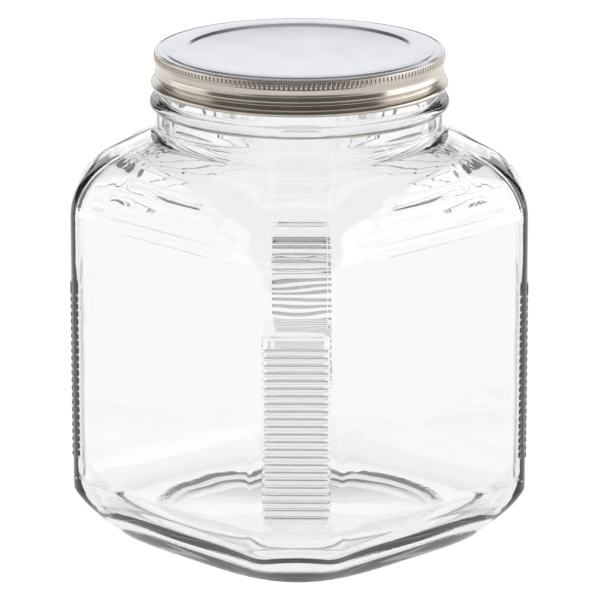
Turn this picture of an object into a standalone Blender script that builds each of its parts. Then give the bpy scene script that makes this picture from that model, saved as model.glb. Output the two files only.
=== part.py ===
"""Square glass cracker jar with a one-piece metal screw lid, at real size.

The jar stands on the plane z = 0 with its axis on the Z axis, and its four flat
faces look along +X, -X, +Y and -Y. The four corners carry upright panels of
horizontal ribs, and three shortening bars climb each shoulder.
"""
import math

import bmesh
import bpy
from mathutils import Matrix, Vector

MM = 0.001

# Body section, measured from the axis, in millimetres
FACE_REACH = 79.6
CORNER_REACH = 95.9
CORNER_ROUNDING = 13.3
WALL = 3.5
CORNER_WALL = 3.9
INNER_ROUNDING = 9.7

# Heights above the table
HEEL_TOP = 20.4
SHOULDER_Z = 138.7
BEAD_Z = 186.2
LIP_Z = 206.5

# Heel and base
HEEL_FACE_INSET = 12.9
HEEL_CORNER_INSET = 21.4
HEEL_POWER = 1.3
HEEL_BULGE = 4.0
BEARING_RADIUS = 62.2
PUSH_UP_RADIUS = 58.1
PUSH_UP_RISE = 3.3
FLOOR_Z = 8.2
FLOOR_HEEL_HEIGHT = 20.4
FLOOR_FACE_INSET = 15.3
FLOOR_CORNER_INSET = 25.5

# Shoulder and neck
SHOULDER_RADIUS = 26.5
SHOULDER_SLOPE = math.radians(28.0)
NECK_RADIUS = 59.9
NECK_FILLET = 4.1
BEAD_RADIUS = 62.7
BEAD_HALF_HEIGHT = 2.4
FINISH_RADIUS = 58.5
BORE_RADIUS = 54.7
LIP_ROUND = 1.2

# Raised band and bars on each shoulder
BAND_BOTTOM = 138.3
BAR_RISE = 5.8
BAND_PROUD = 0.7
BAR_FACES = (79.6, 78.6, 77.4)
BAR_HALF_LENGTHS = (43.4, 33.2, 22.4)
BAR_DEPTH = 2.7
BAR_EDGE_ROUND = 0.5

# Ribs on each corner
RIB_COUNT = 22
RIB_PITCH = 3.23
RIB_FIRST_Z = 35.7
RIB_LENGTH = 25.7
RIB_PROUD = 0.64
RIB_ROOT = 0.7
RIB_WIDTH = 2.8
RIB_EDGE = 0.7
PLAIN_RIB_Z = 108.3
PLAIN_RIB_WIDTH = 5.7

# Lid
LID_TOP = 208.5
LID_BOTTOM = 193.1
LID_SHEET = 0.6
LID_RADIUS = 60.9
PANEL_RADIUS = 46.8
PANEL_DEPTH = 0.8
RING_RADIUS = 56.3
RING_STEP = 0.4
RIM_ROUND = 1.6
KNURL_TOP = 207.2
KNURL_BOTTOM = 204.0
KNURL_COUNT = 190
KNURL_DEPTH = 0.35
GROOVE_RADIUS = 59.9
GROOVE_Z = 197.3
STEP_Z = 199.1
CURL_RADIUS = 62.2
CURL_ROUND = 1.2

# Fineness
FACE_STEPS = 6
ARC_STEPS = 3
FLAT_STEPS = 2
HEEL_STEPS = 5
SHOULDER_STEPS = 5
FILLET_STEPS = 2
BEAD_STEPS = 6
LID_COLUMNS = 76
CURL_STEPS = 6


def clear_scene():
    """Remove whatever the file opened with."""
    for obj in list(bpy.data.objects):
        bpy.data.objects.remove(obj, do_unlink=True)


def make_material(name, colour, roughness, metallic, transmission=0.0):
    """Return a Principled material of one colour."""
    material = bpy.data.materials.new(name)
    material.use_nodes = True
    shader = material.node_tree.nodes["Principled BSDF"]
    shader.inputs["Base Color"].default_value = (*colour, 1.0)
    shader.inputs["Roughness"].default_value = roughness
    shader.inputs["Metallic"].default_value = metallic
    shader.inputs["Transmission Weight"].default_value = transmission
    return material


def finish_object(name, bm, material):
    """Turn a bmesh in millimetres into a smooth-shaded object in metres."""
    bmesh.ops.scale(bm, vec=Vector((MM, MM, MM)), verts=bm.verts)
    bmesh.ops.recalc_face_normals(bm, faces=bm.faces)
    mesh = bpy.data.meshes.new(name)
    bm.to_mesh(mesh)
    bm.free()
    if material:
        mesh.materials.append(material)
    mesh.shade_smooth()
    mesh.set_sharp_from_angle(angle=math.radians(35.0))
    obj = bpy.data.objects.new(name, mesh)
    bpy.context.scene.collection.objects.link(obj)
    return obj


def arc_centre(face, corner, rounding):
    """Centre of the round between a face and the corner flat beside it."""
    inner_face = face - rounding
    return inner_face, (corner - rounding) * math.sqrt(2.0) - inner_face


def polar_reach(angle, face, corner, rounding):
    """Distance from the axis to a square section with flattened, rounded corners."""
    eighth = abs((angle + math.pi / 4) % (math.pi / 2) - math.pi / 4)
    cx, cy = arc_centre(face, corner, rounding)
    slant = rounding * math.sqrt(0.5)
    if eighth <= math.atan2(cy, face):
        return face / math.cos(eighth)
    if eighth >= math.atan2(cy + slant, cx + slant):
        return corner / math.cos(math.pi / 4 - eighth)
    along = cx * math.cos(eighth) + cy * math.sin(eighth)
    return along + math.sqrt(along ** 2 - (cx ** 2 + cy ** 2 - rounding ** 2))


def column_angles():
    """Angles of the columns that run up the jar, closer together round the corners."""
    cx, cy = arc_centre(FACE_REACH, CORNER_REACH, CORNER_ROUNDING)
    quarter = []
    for step in range(FACE_STEPS):
        across = cy * (2.0 * step / FACE_STEPS - 1.0)
        quarter.append(math.atan2(across, FACE_REACH))
    for step in range(ARC_STEPS):
        turn = math.pi / 4 * step / ARC_STEPS
        x = cx + CORNER_ROUNDING * math.cos(turn)
        y = cy + CORNER_ROUNDING * math.sin(turn)
        quarter.append(math.atan2(y, x))
    half_flat = math.pi / 4 - math.atan2(cy + CORNER_ROUNDING * math.sqrt(0.5),
                                         cx + CORNER_ROUNDING * math.sqrt(0.5))
    for step in range(FLAT_STEPS):
        quarter.append(math.pi / 4 + half_flat * (2.0 * step / FLAT_STEPS - 1.0))
    for step in range(ARC_STEPS):
        turn = math.pi / 4 * (1.0 + step / ARC_STEPS)
        x = cy + CORNER_ROUNDING * math.cos(turn)
        y = cx + CORNER_ROUNDING * math.sin(turn)
        quarter.append(math.atan2(y, x))
    return [angle + side * math.pi / 2 for side in range(4) for angle in quarter]


def soft_square_reach(angle, face, corner):
    """Distance from the axis to a square section that bulges all the way round."""
    power = 1.0 / (0.5 - math.log2(corner / face))
    spread = abs(math.cos(angle)) ** power + abs(math.sin(angle)) ** power
    return face / spread ** (1.0 / power)


def ring_points(height, face, corner, section, softness=0.0):
    """One closed loop at a height, from round (face equals corner) to square."""
    base_face, base_corner, rounding = section
    points = []
    for angle in column_angles():
        share = polar_reach(angle, base_face, base_corner, rounding) - base_face
        share /= base_corner - base_face
        reach = face + share * (corner - face)
        reach += softness * (soft_square_reach(angle, face, corner) - reach)
        points.append(Vector((reach * math.cos(angle), reach * math.sin(angle), height)))
    return points


def shoulder_profile():
    """Heights and corner reaches from the wall's top to the neck."""
    profile = []
    for step in range(1, SHOULDER_STEPS + 1):
        turn = (math.pi / 2 - SHOULDER_SLOPE) * step / SHOULDER_STEPS
        reach = CORNER_REACH - SHOULDER_RADIUS * (1.0 - math.cos(turn))
        profile.append((SHOULDER_Z + SHOULDER_RADIUS * math.sin(turn), reach))
    last_z, last_reach = profile[-1]
    meet_z = last_z + (last_reach - NECK_RADIUS) * math.tan(SHOULDER_SLOPE)
    tangent = NECK_FILLET * math.tan((math.pi / 2 - SHOULDER_SLOPE) / 2)
    end_reach = NECK_RADIUS + tangent * math.cos(SHOULDER_SLOPE)
    end_z = meet_z - tangent * math.sin(SHOULDER_SLOPE)
    profile.append(((last_z + end_z) / 2, (last_reach + end_reach) / 2))
    for step in range(FILLET_STEPS + 1):
        turn = SHOULDER_SLOPE + (math.pi / 2 - SHOULDER_SLOPE) * step / FILLET_STEPS
        reach = NECK_RADIUS + NECK_FILLET * (1.0 - math.sin(turn))
        profile.append((meet_z + tangent - NECK_FILLET * math.cos(turn), reach))
    return profile


def face_reach_at(height, corner_reach):
    """Reach of a face's middle line on the shoulder, a quarter of an ellipse."""
    neck_z = shoulder_profile()[-1][0]
    share = min(max((height - SHOULDER_Z) / (neck_z - SHOULDER_Z), 0.0), 1.0)
    reach = NECK_RADIUS + (FACE_REACH - NECK_RADIUS) * math.sqrt(1.0 - share ** 2)
    return min(reach, corner_reach)


def heel_levels(bottom, height, power, steps):
    """Heights and inset shares of a heel, from the floor up to the straight wall."""
    levels = []
    for step in range(steps + 1):
        drop = math.cos(math.pi / 2 * step / steps)
        inset = 1.0 - max(1.0 - drop ** power, 0.0) ** (1.0 / power)
        levels.append((bottom + height * (1.0 - drop), inset))
    return levels


def outer_rings():
    """Loops of the outside, from the middle of the base up to the lip."""
    section = (FACE_REACH, CORNER_REACH, CORNER_ROUNDING)
    levels = [(PUSH_UP_RISE, PUSH_UP_RADIUS * 0.4, PUSH_UP_RADIUS * 0.4),
              (PUSH_UP_RISE * 0.8, PUSH_UP_RADIUS * 0.8, PUSH_UP_RADIUS * 0.8),
              (PUSH_UP_RISE * 0.4, PUSH_UP_RADIUS, PUSH_UP_RADIUS),
              (0.0, BEARING_RADIUS, BEARING_RADIUS)]
    for height, inset in heel_levels(0.0, HEEL_TOP, HEEL_POWER, HEEL_STEPS):
        corner = CORNER_REACH - HEEL_CORNER_INSET * inset + HEEL_BULGE * inset ** 4
        levels.append((height, FACE_REACH - HEEL_FACE_INSET * inset, corner))
    band_top = BAND_BOTTOM + BAR_RISE
    levels.append((BAND_BOTTOM - 0.3, FACE_REACH, CORNER_REACH))
    levels.append((BAND_BOTTOM, FACE_REACH + BAND_PROUD, CORNER_REACH))
    first_z, first_reach = shoulder_profile()[0]
    slope = (CORNER_REACH - first_reach) / (first_z - SHOULDER_Z)
    for height, proud in ((band_top - 0.4, BAND_PROUD), (band_top, 0.0)):
        corner = CORNER_REACH - slope * (height - SHOULDER_Z)
        face = FACE_REACH + proud if proud else face_reach_at(height, corner)
        levels.append((height, face, corner))
    for height, corner in shoulder_profile():
        if height > band_top:
            levels.append((height, face_reach_at(height, corner), corner))
    for step in range(1, BEAD_STEPS + 1):
        turn = math.pi * step / BEAD_STEPS - math.pi / 2
        root = NECK_RADIUS if turn < 0.0 else FINISH_RADIUS
        reach = root + (BEAD_RADIUS - root) * math.cos(turn)
        levels.append((BEAD_Z + BEAD_HALF_HEIGHT * math.sin(turn), reach, reach))
    levels.append((LIP_Z - LIP_ROUND, FINISH_RADIUS, FINISH_RADIUS))
    levels.append((LIP_Z, FINISH_RADIUS - LIP_ROUND, FINISH_RADIUS - LIP_ROUND))
    return [ring_points(z, face, corner, section, max(1.0 - z / HEEL_TOP, 0.0) ** 2)
            for z, face, corner in levels]


def inner_rings():
    """Loops of the inside, from the lip down to the middle of the floor."""
    face_in = FACE_REACH - WALL
    corner_in = CORNER_REACH - CORNER_WALL
    section = (face_in, corner_in, INNER_ROUNDING)
    levels = [(LIP_Z, BORE_RADIUS + LIP_ROUND, BORE_RADIUS + LIP_ROUND),
              (LIP_Z - LIP_ROUND, BORE_RADIUS, BORE_RADIUS)]
    drop = WALL * 0.6
    for height, corner in reversed(shoulder_profile()):
        share = (corner - NECK_RADIUS) / (CORNER_REACH - NECK_RADIUS)
        inner = BORE_RADIUS + share * (corner_in - BORE_RADIUS)
        face = face_reach_at(height, corner)
        share = (face - NECK_RADIUS) / (FACE_REACH - NECK_RADIUS)
        inner_face = BORE_RADIUS + share * (face_in - BORE_RADIUS)
        levels.append((height - drop, inner_face, inner))
    levels.append((SHOULDER_Z - drop, face_in, corner_in))
    for height, inset in reversed(heel_levels(FLOOR_Z, FLOOR_HEEL_HEIGHT, 2.0, HEEL_STEPS)):
        levels.append((height, face_in - FLOOR_FACE_INSET * inset,
                       corner_in - FLOOR_CORNER_INSET * inset))
    return [ring_points(z, face, corner, section) for z, face, corner in levels]


def loft(bm, loops):
    """Skin neighbouring loops with quads, or with fans where one loop is finer."""
    rows = [[bm.verts.new(point) for point in loop] for loop in loops]
    for lower, upper in zip(rows, rows[1:]):
        coarse, fine = sorted((lower, upper), key=len)
        ratio = len(fine) // len(coarse)
        for i, vert in enumerate(coarse):
            after = coarse[(i + 1) % len(coarse)]
            teeth = [fine[(i * ratio + k) % len(fine)] for k in range(ratio + 1)]
            if ratio == 1:
                bm.faces.new((vert, after, teeth[1], teeth[0]))
                continue
            middle = ratio // 2
            for k in range(ratio):
                bm.faces.new((vert if k < middle else after, teeth[k + 1], teeth[k]))
            bm.faces.new((vert, after, teeth[middle]))
    return rows


def cap(bm, row):
    """Close a loop with a fan round its middle."""
    middle = bm.verts.new(sum((vert.co for vert in row), Vector()) / len(row))
    for i, vert in enumerate(row):
        bm.faces.new((vert, row[(i + 1) % len(row)], middle))


def make_rib(name, corner, middle, width):
    """One level rib of a corner panel: a prism with slanting edges, rooted in the wall."""
    bm = bmesh.new()
    front = CORNER_REACH + RIB_PROUD
    back = CORNER_REACH - RIB_ROOT
    half = width / 2
    outline = [(back, -half), (front, RIB_EDGE - half), (front, half - RIB_EDGE), (back, half)]
    ends = []
    for side in (-0.5, 0.5):
        ends.append([bm.verts.new((reach, side * RIB_LENGTH, middle + rise))
                     for reach, rise in outline])
    for i in range(len(outline)):
        j = (i + 1) % len(outline)
        bm.faces.new((ends[0][i], ends[0][j], ends[1][j], ends[1][i]))
    bm.faces.new(ends[0])
    bm.faces.new(ends[1])
    turn = math.pi / 4 + corner * math.pi / 2
    bmesh.ops.rotate(bm, verts=bm.verts, matrix=Matrix.Rotation(turn, 3, "Z"))
    return finish_object(f"guide_{name}_{corner}", bm, None)


def make_rib_stack(corner):
    """Equal ribs up one corner panel, repeated by an array."""
    rib = make_rib("ribs", corner, RIB_FIRST_Z, RIB_WIDTH)
    array = rib.modifiers.new("stack", "ARRAY")
    array.count = RIB_COUNT
    array.use_relative_offset = False
    array.use_constant_offset = True
    array.constant_offset_displace = (0.0, 0.0, RIB_PITCH * MM)
    return rib


def make_bar(side, level):
    """One raised bar on a shoulder, a box with softened edges."""
    face = BAR_FACES[level]
    top = BAND_BOTTOM + BAR_RISE * (level + 2)
    bottom = BAND_BOTTOM + BAR_RISE * (level + 0.6)
    bm = bmesh.new()
    bmesh.ops.create_cube(bm, size=1.0)
    size = Vector((BAR_DEPTH, 2.0 * BAR_HALF_LENGTHS[level], top - bottom))
    bmesh.ops.scale(bm, vec=size, verts=bm.verts)
    middle = Vector((face - BAR_DEPTH / 2, 0.0, (top + bottom) / 2))
    bmesh.ops.translate(bm, vec=middle, verts=bm.verts)
    outer_edges = [edge for edge in bm.edges if all(v.co.x > face - 0.1 for v in edge.verts)]
    bmesh.ops.bevel(bm, geom=outer_edges, offset=BAR_EDGE_ROUND, segments=1,
                    profile=0.5, affect="EDGES")
    turn = Matrix.Rotation(side * math.pi / 2, 3, "Z")
    bmesh.ops.rotate(bm, verts=bm.verts, matrix=turn)
    return finish_object(f"guide_bar_{side}_{level}", bm, None)


def make_jar(material):
    """The glass jar: one shell from base to lip and back to the floor, with its relief."""
    bm = bmesh.new()
    rows = loft(bm, outer_rings() + inner_rings())
    cap(bm, rows[0])
    cap(bm, rows[-1])
    jar = finish_object("glass_jar", bm, material)
    relief = bpy.data.collections.new("relief")
    bpy.context.scene.collection.children.link(relief)
    guides = [make_rib_stack(corner) for corner in range(4)]
    guides += [make_rib("plain_rib", corner, PLAIN_RIB_Z, PLAIN_RIB_WIDTH) for corner in range(4)]
    guides += [make_bar(side, level) for side in range(4) for level in range(len(BAR_FACES))]
    for guide in guides:
        bpy.context.scene.collection.objects.unlink(guide)
        relief.objects.link(guide)
        guide.hide_render = True
        guide.display_type = "WIRE"
    union = jar.modifiers.new("relief", "BOOLEAN")
    union.operation = "UNION"
    union.operand_type = "COLLECTION"
    union.collection = relief
    union.solver = "EXACT"
    return jar


def lid_outside():
    """Radius and height down the lid's outer side, from the top to the curl's end."""
    profile = [(PANEL_RADIUS, LID_TOP - PANEL_DEPTH),
               (PANEL_RADIUS + 0.6, LID_TOP),
               (RING_RADIUS, LID_TOP),
               (RING_RADIUS + 0.3, LID_TOP - RING_STEP),
               (LID_RADIUS - RIM_ROUND, LID_TOP - RING_STEP),
               (LID_RADIUS - RIM_ROUND * 0.3, LID_TOP - RING_STEP - RIM_ROUND * 0.3),
               (LID_RADIUS, KNURL_TOP + 0.15)]
    skirt = [(LID_RADIUS - KNURL_DEPTH, KNURL_BOTTOM - 0.2),
             (LID_RADIUS - 0.8, (KNURL_BOTTOM + STEP_Z) / 2),
             (LID_RADIUS - 0.5, STEP_Z),
             (GROOVE_RADIUS, GROOVE_Z)]
    curl = []
    centre = (CURL_RADIUS - CURL_ROUND, LID_BOTTOM + CURL_ROUND)
    for step in range(CURL_STEPS + 1):
        turn = math.radians(70.0) - math.radians(250.0) * step / CURL_STEPS
        curl.append((centre[0] + CURL_ROUND * math.cos(turn),
                     centre[1] + CURL_ROUND * math.sin(turn)))
    return profile, skirt, curl


def circle(radius, height, columns, depth=0.0):
    """A loop round the axis; every second point is set in by the depth."""
    points = []
    for i in range(columns):
        reach = radius - depth * (i % 2)
        angle = 2.0 * math.pi * i / columns
        points.append(Vector((reach * math.cos(angle), reach * math.sin(angle), height)))
    return points


def make_lid(material):
    """The metal screw lid: a thin cap with a knurled band and a rolled lower edge."""
    top, skirt, curl = lid_outside()
    loops = [circle(r, z, LID_COLUMNS) for r, z in top]
    loops += [circle(LID_RADIUS, z, 2 * KNURL_COUNT, KNURL_DEPTH)
              for z in (KNURL_TOP, KNURL_BOTTOM)]
    loops += [circle(r, z, LID_COLUMNS) for r, z in skirt + curl]
    inside_radius = GROOVE_RADIUS - LID_SHEET
    ceiling = LID_TOP - PANEL_DEPTH - LID_SHEET
    inside = [(inside_radius, LID_BOTTOM + 2.0 * CURL_ROUND),
              (inside_radius, ceiling - 1.0),
              (inside_radius - 1.0, ceiling + RING_STEP * 0.5),
              (PANEL_RADIUS + 1.2, ceiling + RING_STEP * 0.5),
              (PANEL_RADIUS, ceiling)]
    loops += [circle(r, z, LID_COLUMNS) for r, z in inside]
    bm = bmesh.new()
    rows = loft(bm, loops)
    cap(bm, rows[0])
    cap(bm, rows[-1])
    return finish_object("metal_lid", bm, material)


def build():
    """Build the jar and its lid."""
    clear_scene()
    glass = make_material("clear_glass", (0.90, 0.94, 0.92), 0.03, 0.0, 0.9)
    tinplate = make_material("satin_tinplate", (0.62, 0.60, 0.57), 0.32, 1.0)
    make_jar(glass)
    make_lid(tinplate)


build()
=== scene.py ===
"""Looks of the square glass cracker jar and its metal screw lid.

The jar is one skin of clear pressed glass, drawn from its level sections, with ribs
on its corners and bars on its shoulders. The lid is turned tinplate with a knurled
band. Sizes are millimetres in the classes and metres in the meshes.
"""

import logging
import math
from dataclasses import dataclass, field
from enum import Enum
from typing import Any

import bpy
import numpy as np
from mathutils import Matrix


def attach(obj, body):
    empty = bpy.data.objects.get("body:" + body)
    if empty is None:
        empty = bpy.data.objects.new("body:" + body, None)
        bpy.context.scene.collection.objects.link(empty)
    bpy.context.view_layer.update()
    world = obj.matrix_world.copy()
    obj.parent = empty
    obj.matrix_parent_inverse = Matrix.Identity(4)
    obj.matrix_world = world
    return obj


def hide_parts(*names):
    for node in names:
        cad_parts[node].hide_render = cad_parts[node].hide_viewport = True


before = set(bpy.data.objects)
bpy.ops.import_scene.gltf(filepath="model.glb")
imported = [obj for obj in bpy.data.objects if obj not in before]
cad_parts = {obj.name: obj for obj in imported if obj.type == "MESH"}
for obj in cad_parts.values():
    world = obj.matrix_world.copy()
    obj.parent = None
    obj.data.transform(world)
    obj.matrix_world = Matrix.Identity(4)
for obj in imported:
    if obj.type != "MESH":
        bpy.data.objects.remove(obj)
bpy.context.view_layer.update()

MM = 0.001
PHOTO_WIDTH = 600
SENSOR_MM = 36.0
WHITE = (1.0, 1.0, 1.0, 1.0)
QUARTER = math.pi / 2
EIGHTH = math.pi / 4
Point = tuple[float, float]
Level = tuple[float, float, float]
Tree = bpy.types.NodeTree
Node = bpy.types.Node
Socket = bpy.types.NodeSocket
Material = bpy.types.Material
Piece = bpy.types.Object
LOG = logging.getLogger("cracker_jar")


class Operation(Enum):
    """Names of the arithmetic that the node trees use."""

    ADD = "ADD"
    SUBTRACT = "SUBTRACT"
    MULTIPLY = "MULTIPLY"
    DIVIDE = "DIVIDE"
    MULTIPLY_ADD = "MULTIPLY_ADD"
    POWER = "POWER"
    FLOOR = "FLOOR"
    LEAST = "MINIMUM"
    ABSOLUTE = "ABSOLUTE"
    ABOVE = "GREATER_THAN"
    BELOW = "LESS_THAN"


class BodyName(Enum):
    """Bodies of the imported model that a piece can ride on."""

    ROOT = "root"


def linear(hex_colour: str) -> tuple[float, float, float, float]:
    """Turn an sRGB hex colour into linear red, green, blue and a full alpha.

    Args:
        hex_colour: Six hex digits after a hash sign.

    Returns:
        The linear colour with alpha 1.
    """
    values = [int(hex_colour[i:i + 2], 16) / 255.0 for i in (1, 3, 5)]
    channels = [v / 12.92 if v <= 0.04045 else ((v + 0.055) / 1.055) ** 2.4 for v in values]
    return (*channels, 1.0)


def fill(tree: Tree, node: Node, inputs: dict[Any, Any]) -> None:
    """Set a node's inputs, or link source sockets into them.

    Args:
        tree: Tree that holds the node.
        node: Node that gets the values.
        inputs: Values or source sockets, by name or index of the input.
    """
    for key, value in inputs.items():
        if isinstance(value, Socket):
            tree.links.new(value, node.inputs[key])
        else:
            node.inputs[key].default_value = value


def add_node(tree: Tree, kind: str, inputs: dict[Any, Any] | None = None,
             **settings: Any) -> Node:
    """Add one node with its settings, its input values and the links into it.

    Args:
        tree: Tree that gets the node.
        kind: Blender's type name of the node.
        inputs: Values or source sockets for the node's inputs, by name or index.
        **settings: Properties of the node.

    Returns:
        The new node.
    """
    node = tree.nodes.new(kind)
    for name, value in settings.items():
        setattr(node, name, value.value if isinstance(value, Enum) else value)
    fill(tree, node, inputs or {})
    return node


def calc(tree: Tree, operation: Operation, *values: Any) -> Socket:
    """Add one arithmetic node.

    Args:
        tree: Tree that gets the node.
        operation: What the node works out.
        *values: Numbers or source sockets, in the order of the node's inputs.

    Returns:
        The socket with the result.
    """
    node = add_node(tree, "ShaderNodeMath", dict(enumerate(values)), operation=operation)
    return node.outputs[0]


def ramp(tree: Tree, value: Socket, limits: dict[str, Any], curve: str = "LINEAR") -> Socket:
    """Add one node that maps a range of values onto another, clamped at its ends.

    Args:
        tree: Tree that gets the node.
        value: Socket with the value.
        limits: From Min, From Max, To Min and To Max where they aren't 0 and 1.
        curve: Interpolation between the ends.

    Returns:
        The socket with the mapped value.
    """
    node = add_node(tree, "ShaderNodeMapRange", {"Value": value, **limits},
                    interpolation_type=curve)
    return node.outputs["Result"]


def noise(tree: Tree, place: Socket, size_mm: float, detail: float) -> Socket:
    """Add one noise texture.

    Args:
        tree: Tree that gets the node.
        place: Socket with the coordinates.
        size_mm: Size of one lump.
        detail: Number of finer layers on top.

    Returns:
        The socket with the value, from 0 to 1.
    """
    node = add_node(tree, "ShaderNodeTexNoise",
                    {"Vector": place, "Scale": 1.0 / (size_mm * MM), "Detail": detail})
    return node.outputs["Fac"]


def new_material(name: str) -> tuple[Material, Tree, Node]:
    """Start a node material.

    Args:
        name: Name of the material.

    Returns:
        The material, its tree and its main shader.
    """
    material = bpy.data.materials.new(name)
    material.use_nodes = True
    return material, material.node_tree, material.node_tree.nodes["Principled BSDF"]


def mesh_object(name: str, points: np.ndarray, faces: list[tuple[int, ...]]) -> Piece:
    """Make a smooth-shaded object from points in millimetres.

    Args:
        name: Name of the object and of its mesh.
        points: Array of points, one row each.
        faces: Tuples of point indices, turning anticlockwise seen from outside.

    Returns:
        The new object, linked to the scene.
    """
    mesh = bpy.data.meshes.new(name)
    mesh.from_pydata((points * MM).tolist(), [], faces)
    mesh.validate()
    mesh.shade_smooth()
    piece = bpy.data.objects.new(name, mesh)
    bpy.context.scene.collection.objects.link(piece)
    return piece


def skin(rings: list[np.ndarray]) -> tuple[np.ndarray, list[tuple[int, ...]]]:
    """Join rings of equal length into a closed skin with a point at either end.

    Args:
        rings: Arrays of points, from the first ring to the last, outside first.

    Returns:
        The points and the faces.
    """
    count = len(rings[0])
    points = np.concatenate([*rings, rings[0].mean(0)[None], rings[-1].mean(0)[None]])
    faces: list[tuple[int, ...]] = []
    for row in range(len(rings) - 1):
        low, high = row * count, (row + 1) * count
        for i in range(count):
            j = (i + 1) % count
            faces.append((low + i, low + j, high + j, high + i))
    first, last = len(points) - 2, len(points) - 1
    end = (len(rings) - 1) * count
    for i in range(count):
        j = (i + 1) % count
        faces.append((first, j, i))
        faces.append((last, end + i, end + j))
    return points, faces


def apply_tree(piece: Piece, tree: Tree, values: dict[str, Any]) -> Piece:
    """Run a Geometry Nodes tree on a piece and keep only the plain mesh it makes.

    Args:
        piece: Object that the tree works on.
        tree: Geometry tree with named inputs.
        values: Input values by name.

    Returns:
        The same object with the evaluated mesh and no modifier.
    """
    modifier = piece.modifiers.new(tree.name, "NODES")
    modifier.node_group = tree
    for item in tree.interface.items_tree:
        if item.item_type == "SOCKET" and item.in_out == "INPUT" and item.name in values:
            modifier[item.identifier] = values[item.name]
    evaluated = piece.evaluated_get(bpy.context.evaluated_depsgraph_get())
    mesh = bpy.data.meshes.new_from_object(evaluated)
    piece.modifiers.remove(modifier)
    old = piece.data
    mesh.name = piece.name
    piece.data = mesh
    bpy.data.meshes.remove(old)
    mesh.shade_smooth()
    return piece


def new_tree(name: str, inputs: dict[str, float | int | None]) -> tuple[Tree, Node, Node]:
    """Start a Geometry Nodes tree with named inputs.

    Args:
        name: Name of the tree.
        inputs: First value of each input, by name; None makes a material input.

    Returns:
        The tree, its group input node and its group output node.
    """
    tree = bpy.data.node_groups.new(name, "GeometryNodeTree")
    tree.interface.new_socket("Geometry", in_out="INPUT", socket_type="NodeSocketGeometry")
    kinds = {float: "NodeSocketFloat", int: "NodeSocketInt", type(None): "NodeSocketMaterial"}
    for label, value in inputs.items():
        socket = tree.interface.new_socket(label, in_out="INPUT",
                                           socket_type=kinds[type(value)])
        if value is not None:
            socket.default_value = value
    tree.interface.new_socket("Geometry", in_out="OUTPUT", socket_type="NodeSocketGeometry")
    return tree, add_node(tree, "NodeGroupInput"), add_node(tree, "NodeGroupOutput")


def end_tree(tree: Tree, shape: Socket, material: Socket, sink: Node) -> None:
    """End a Geometry Nodes tree: make its instances real and set their material.

    Args:
        tree: Tree to end.
        shape: Socket with the geometry.
        material: Socket with the material.
        sink: Group output node of the tree.
    """
    real = add_node(tree, "GeometryNodeRealizeInstances", {0: shape})
    dressed = add_node(tree, "GeometryNodeSetMaterial",
                       {"Geometry": real.outputs[0], "Material": material})
    tree.links.new(dressed.outputs[0], sink.inputs[0])


def curve_steps(start: Point, handle_a: Point, handle_b: Point, end: Point,
                steps: int) -> list[Point]:
    """Points on a cubic curve, without its start.

    Args:
        start: First point.
        handle_a: Handle of the first point.
        handle_b: Handle of the last point.
        end: Last point.
        steps: Number of points to return.

    Returns:
        The points after the start, up to the end.
    """
    points = []
    guides = (start, handle_a, handle_b, end)
    for step in range(1, steps + 1):
        t = step / steps
        weights = ((1 - t) ** 3, 3 * t * (1 - t) ** 2, 3 * t ** 2 * (1 - t), t ** 3)
        points.append(tuple(sum(w * p[axis] for w, p in zip(weights, guides))
                            for axis in (0, 1)))
    return points


def rounded_path(corners: list[Level], steps: int = 5) -> list[Point]:
    """Round the corners of a path of straight runs.

    Args:
        corners: Radius from the axis, height and rounding of each corner.
        steps: Points laid round each corner.

    Returns:
        The rounded path.
    """
    path = [corners[0][:2]]
    for before, here, after in zip(corners, corners[1:], corners[2:]):
        centre = np.array(here[:2])
        back, ahead = np.array(before[:2]) - centre, np.array(after[:2]) - centre
        reach = min(here[2], np.linalg.norm(back) / 2, np.linalg.norm(ahead) / 2)
        start = centre + back / np.linalg.norm(back) * reach
        end = centre + ahead / np.linalg.norm(ahead) * reach
        for step in range(steps + 1):
            t = step / steps
            path.append(tuple((1 - t) ** 2 * start + 2 * t * (1 - t) * centre + t ** 2 * end))
    path.append(corners[-1][:2])
    return path


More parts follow.
